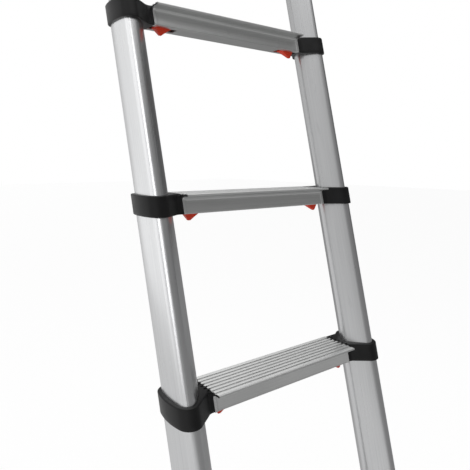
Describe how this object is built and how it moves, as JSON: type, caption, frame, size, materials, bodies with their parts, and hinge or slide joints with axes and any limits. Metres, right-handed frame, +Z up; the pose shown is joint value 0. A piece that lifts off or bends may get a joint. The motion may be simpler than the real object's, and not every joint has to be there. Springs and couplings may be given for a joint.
{
  "type": "telescoping ladder",
  "caption": "Leaning telescoping ladder: nested rounded-triangle aluminium stiles, wide ribbed treads in black collars, sprung red thumb latches, rubber feet and end caps.",
  "frame": {"origin": "on the ground, midway across the ladder and midway between its foremost and rearmost points", "axes": "+X across the ladder to the climber's right, +Y towards the wall, +Z up; the stiles lean 15 degrees from +Z towards +Y"},
  "size_m": [0.4388, 0.6303, 2.053],
  "materials": {
    "tube_aluminium": "satin anodised",
    "tread_aluminium": "satin extruded, ribbed top",
    "collar_nylon": "fine moulded grain",
    "trigger_nylon": "smooth moulded",
    "rubber": "matte"
  },
  "bodies": {
    "section_1": {"left_tube_1": "tube_aluminium", "right_tube_1": "tube_aluminium", "left_collar_1": "collar_nylon", "right_collar_1": "collar_nylon", "tread_1": "tread_aluminium", "left_foot": "rubber", "right_foot": "rubber"},
    "section_2": {"left_tube_2": "tube_aluminium", "right_tube_2": "tube_aluminium", "left_collar_2": "collar_nylon", "right_collar_2": "collar_nylon", "tread_2": "tread_aluminium"},
    "section_3": {"left_tube_3": "tube_aluminium", "right_tube_3": "tube_aluminium", "left_collar_3": "collar_nylon", "right_collar_3": "collar_nylon", "tread_3": "tread_aluminium"},
    "section_4": {"left_tube_4": "tube_aluminium", "right_tube_4": "tube_aluminium", "left_collar_4": "collar_nylon", "right_collar_4": "collar_nylon", "tread_4": "tread_aluminium"},
    "section_5": {"left_tube_5": "tube_aluminium", "right_tube_5": "tube_aluminium", "left_collar_5": "collar_nylon", "right_collar_5": "collar_nylon", "tread_5": "tread_aluminium"},
    "section_6": {"left_tube_6": "tube_aluminium", "right_tube_6": "tube_aluminium", "left_collar_6": "collar_nylon", "right_collar_6": "collar_nylon", "tread_6": "tread_aluminium"},
    "section_7": {"left_tube_7": "tube_aluminium", "right_tube_7": "tube_aluminium", "left_collar_7": "collar_nylon", "right_collar_7": "collar_nylon", "tread_7": "tread_aluminium", "left_end_cap": "rubber", "right_end_cap": "rubber"},
    "left_latch_1": {"left_latch_1": "trigger_nylon"},
    "right_latch_1": {"right_latch_1": "trigger_nylon"},
    "left_latch_2": {"left_latch_2": "trigger_nylon"},
    "right_latch_2": {"right_latch_2": "trigger_nylon"},
    "left_latch_3": {"left_latch_3": "trigger_nylon"},
    "right_latch_3": {"right_latch_3": "trigger_nylon"},
    "left_latch_4": {"left_latch_4": "trigger_nylon"},
    "right_latch_4": {"right_latch_4": "trigger_nylon"},
    "left_latch_5": {"left_latch_5": "trigger_nylon"},
    "right_latch_5": {"right_latch_5": "trigger_nylon"},
    "left_latch_6": {"left_latch_6": "trigger_nylon"},
    "right_latch_6": {"right_latch_6": "trigger_nylon"}
  },
  "joints": [
    {"name": "section_2_slide", "type": "slide", "parent": "section_1", "child": "section_2", "axis": [0, 0.2588, 0.9659], "range_m": [-0.2424, 0]},
    {"name": "section_3_slide", "type": "slide", "parent": "section_2", "child": "section_3", "axis": [0, 0.2588, 0.9659], "range_m": [-0.2424, 0]},
    {"name": "section_4_slide", "type": "slide", "parent": "section_3", "child": "section_4", "axis": [0, 0.2588, 0.9659], "range_m": [-0.2424, 0]},
    {"name": "section_5_slide", "type": "slide", "parent": "section_4", "child": "section_5", "axis": [0, 0.2588, 0.9659], "range_m": [-0.2424, 0]},
    {"name": "section_6_slide", "type": "slide", "parent": "section_5", "child": "section_6", "axis": [0, 0.2588, 0.9659], "range_m": [-0.2424, 0]},
    {"name": "section_7_slide", "type": "slide", "parent": "section_6", "child": "section_7", "axis": [0, 0.2588, 0.9659], "range_m": [-0.2424, 0]},
    {"name": "left_trigger_1", "type": "slide", "parent": "section_1", "child": "left_latch_1", "axis": [1, 0, 0], "range_m": [0, 0.009], "stiffness_N_per_m": 350, "springref_m": -0.005},
    {"name": "right_trigger_1", "type": "slide", "parent": "section_1", "child": "right_latch_1", "axis": [-1, 0, 0], "range_m": [0, 0.009], "stiffness_N_per_m": 350, "springref_m": -0.005},
    {"name": "left_trigger_2", "type": "slide", "parent": "section_2", "child": "left_latch_2", "axis": [1, 0, 0], "range_m": [0, 0.009], "stiffness_N_per_m": 350, "springref_m": -0.005},
    {"name": "right_trigger_2", "type": "slide", "parent": "section_2", "child": "right_latch_2", "axis": [-1, 0, 0], "range_m": [0, 0.009], "stiffness_N_per_m": 350, "springref_m": -0.005},
    {"name": "left_trigger_3", "type": "slide", "parent": "section_3", "child": "left_latch_3", "axis": [1, 0, 0], "range_m": [0, 0.009], "stiffness_N_per_m": 350, "springref_m": -0.005},
    {"name": "right_trigger_3", "type": "slide", "parent": "section_3", "child": "right_latch_3", "axis": [-1, 0, 0], "range_m": [0, 0.009], "stiffness_N_per_m": 350, "springref_m": -0.005},
    {"name": "left_trigger_4", "type": "slide", "parent": "section_4", "child": "left_latch_4", "axis": [1, 0, 0], "range_m": [0, 0.009], "stiffness_N_per_m": 350, "springref_m": -0.005},
    {"name": "right_trigger_4", "type": "slide", "parent": "section_4", "child": "right_latch_4", "axis": [-1, 0, 0], "range_m": [0, 0.009], "stiffness_N_per_m": 350, "springref_m": -0.005},
    {"name": "left_trigger_5", "type": "slide", "parent": "section_5", "child": "left_latch_5", "axis": [1, 0, 0], "range_m": [0, 0.009], "stiffness_N_per_m": 350, "springref_m": -0.005},
    {"name": "right_trigger_5", "type": "slide", "parent": "section_5", "child": "right_latch_5", "axis": [-1, 0, 0], "range_m": [0, 0.009], "stiffness_N_per_m": 350, "springref_m": -0.005},
    {"name": "left_trigger_6", "type": "slide", "parent": "section_6", "child": "left_latch_6", "axis": [1, 0, 0], "range_m": [0, 0.009], "stiffness_N_per_m": 350, "springref_m": -0.005},
    {"name": "right_trigger_6", "type": "slide", "parent": "section_6", "child": "right_latch_6", "axis": [-1, 0, 0], "range_m": [0, 0.009], "stiffness_N_per_m": 350, "springref_m": -0.005}
  ]
}
